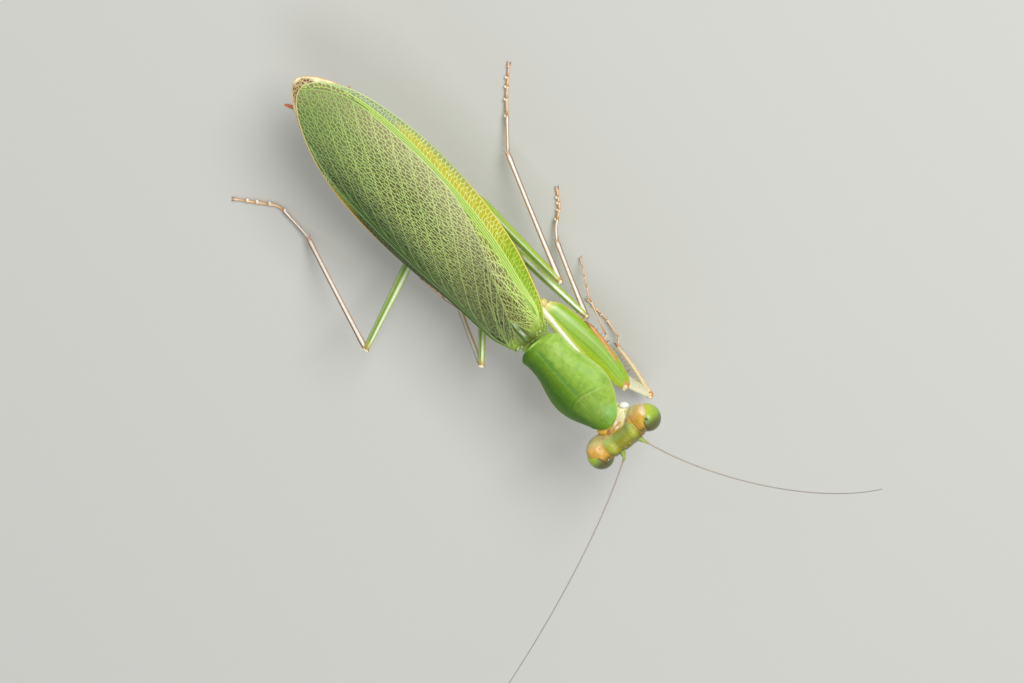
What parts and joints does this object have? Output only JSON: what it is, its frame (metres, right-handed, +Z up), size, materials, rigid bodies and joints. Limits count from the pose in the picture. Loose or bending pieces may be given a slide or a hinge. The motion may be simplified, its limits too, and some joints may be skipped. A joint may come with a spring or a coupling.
{
  "type": "praying mantis",
  "caption": "Life-size still model of a small green flower mantis standing with folded veined wings, forelegs tucked and feelers spread.",
  "frame": {"origin": "on the floor under the middle of the model's bounding box", "axes": "+X the way the mantis faces, +Y to its left, +Z up from the floor"},
  "size_m": [0.0334, 0.0222, 0.0091],
  "materials": {
    "shield": "smooth leaf green cuticle with a waxy gloss",
    "body": "soft yellow green underside and flanks",
    "forewing": "parchment-like wing, grey green cells between pale green veins",
    "hindwing": "thin wing tip, brown cells with a cream edge",
    "eye": "glossy green dome, olive below, dark red brown rim",
    "head": "olive green crown with orange lobes beside the eyes",
    "neck": "soft cream to orange skin",
    "feeler": "pale grey brown thread",
    "upper_leg": "bright green with cream ridges",
    "lower_leg": "cream with brown edges and fine spines",
    "foot": "orange brown beads with pale joints"
  },
  "bodies": {
    "root": {"abdomen": "body", "antenna_left": "feeler", "antenna_right": "feeler", "cercus_left": "feeler", "cercus_right": "feeler", "coxa_fore_left": "upper_leg", "coxa_fore_right": "upper_leg", "coxa_hind_left": "upper_leg", "coxa_hind_right": "upper_leg", "coxa_mid_left": "upper_leg", "coxa_mid_right": "upper_leg", "eye_left": "eye", "eye_right": "eye", "femur_fore_left": "upper_leg", "femur_fore_right": "upper_leg", "femur_hind_left": "upper_leg", "femur_hind_right": "upper_leg", "femur_mid_left": "upper_leg", "femur_mid_right": "upper_leg", "head": "head", "hindwing_left": "hindwing", "hindwing_right": "hindwing", "mesonotum": "shield", "mesothorax": "body", "metathorax": "body", "mouthparts": "head", "neck": "neck", "pronotum": "shield", "prothorax": "body", "tarsus_fore_left": "foot", "tarsus_fore_right": "foot", "tarsus_hind_left": "foot", "tarsus_hind_right": "foot", "tarsus_mid_left": "foot", "tarsus_mid_right": "foot", "tegmen_left": "forewing", "tegmen_right": "forewing", "tibia_fore_left": "lower_leg", "tibia_fore_right": "lower_leg", "tibia_hind_left": "lower_leg", "tibia_hind_right": "lower_leg", "tibia_mid_left": "lower_leg", "tibia_mid_right": "lower_leg"}
  },
  "joints": []
}
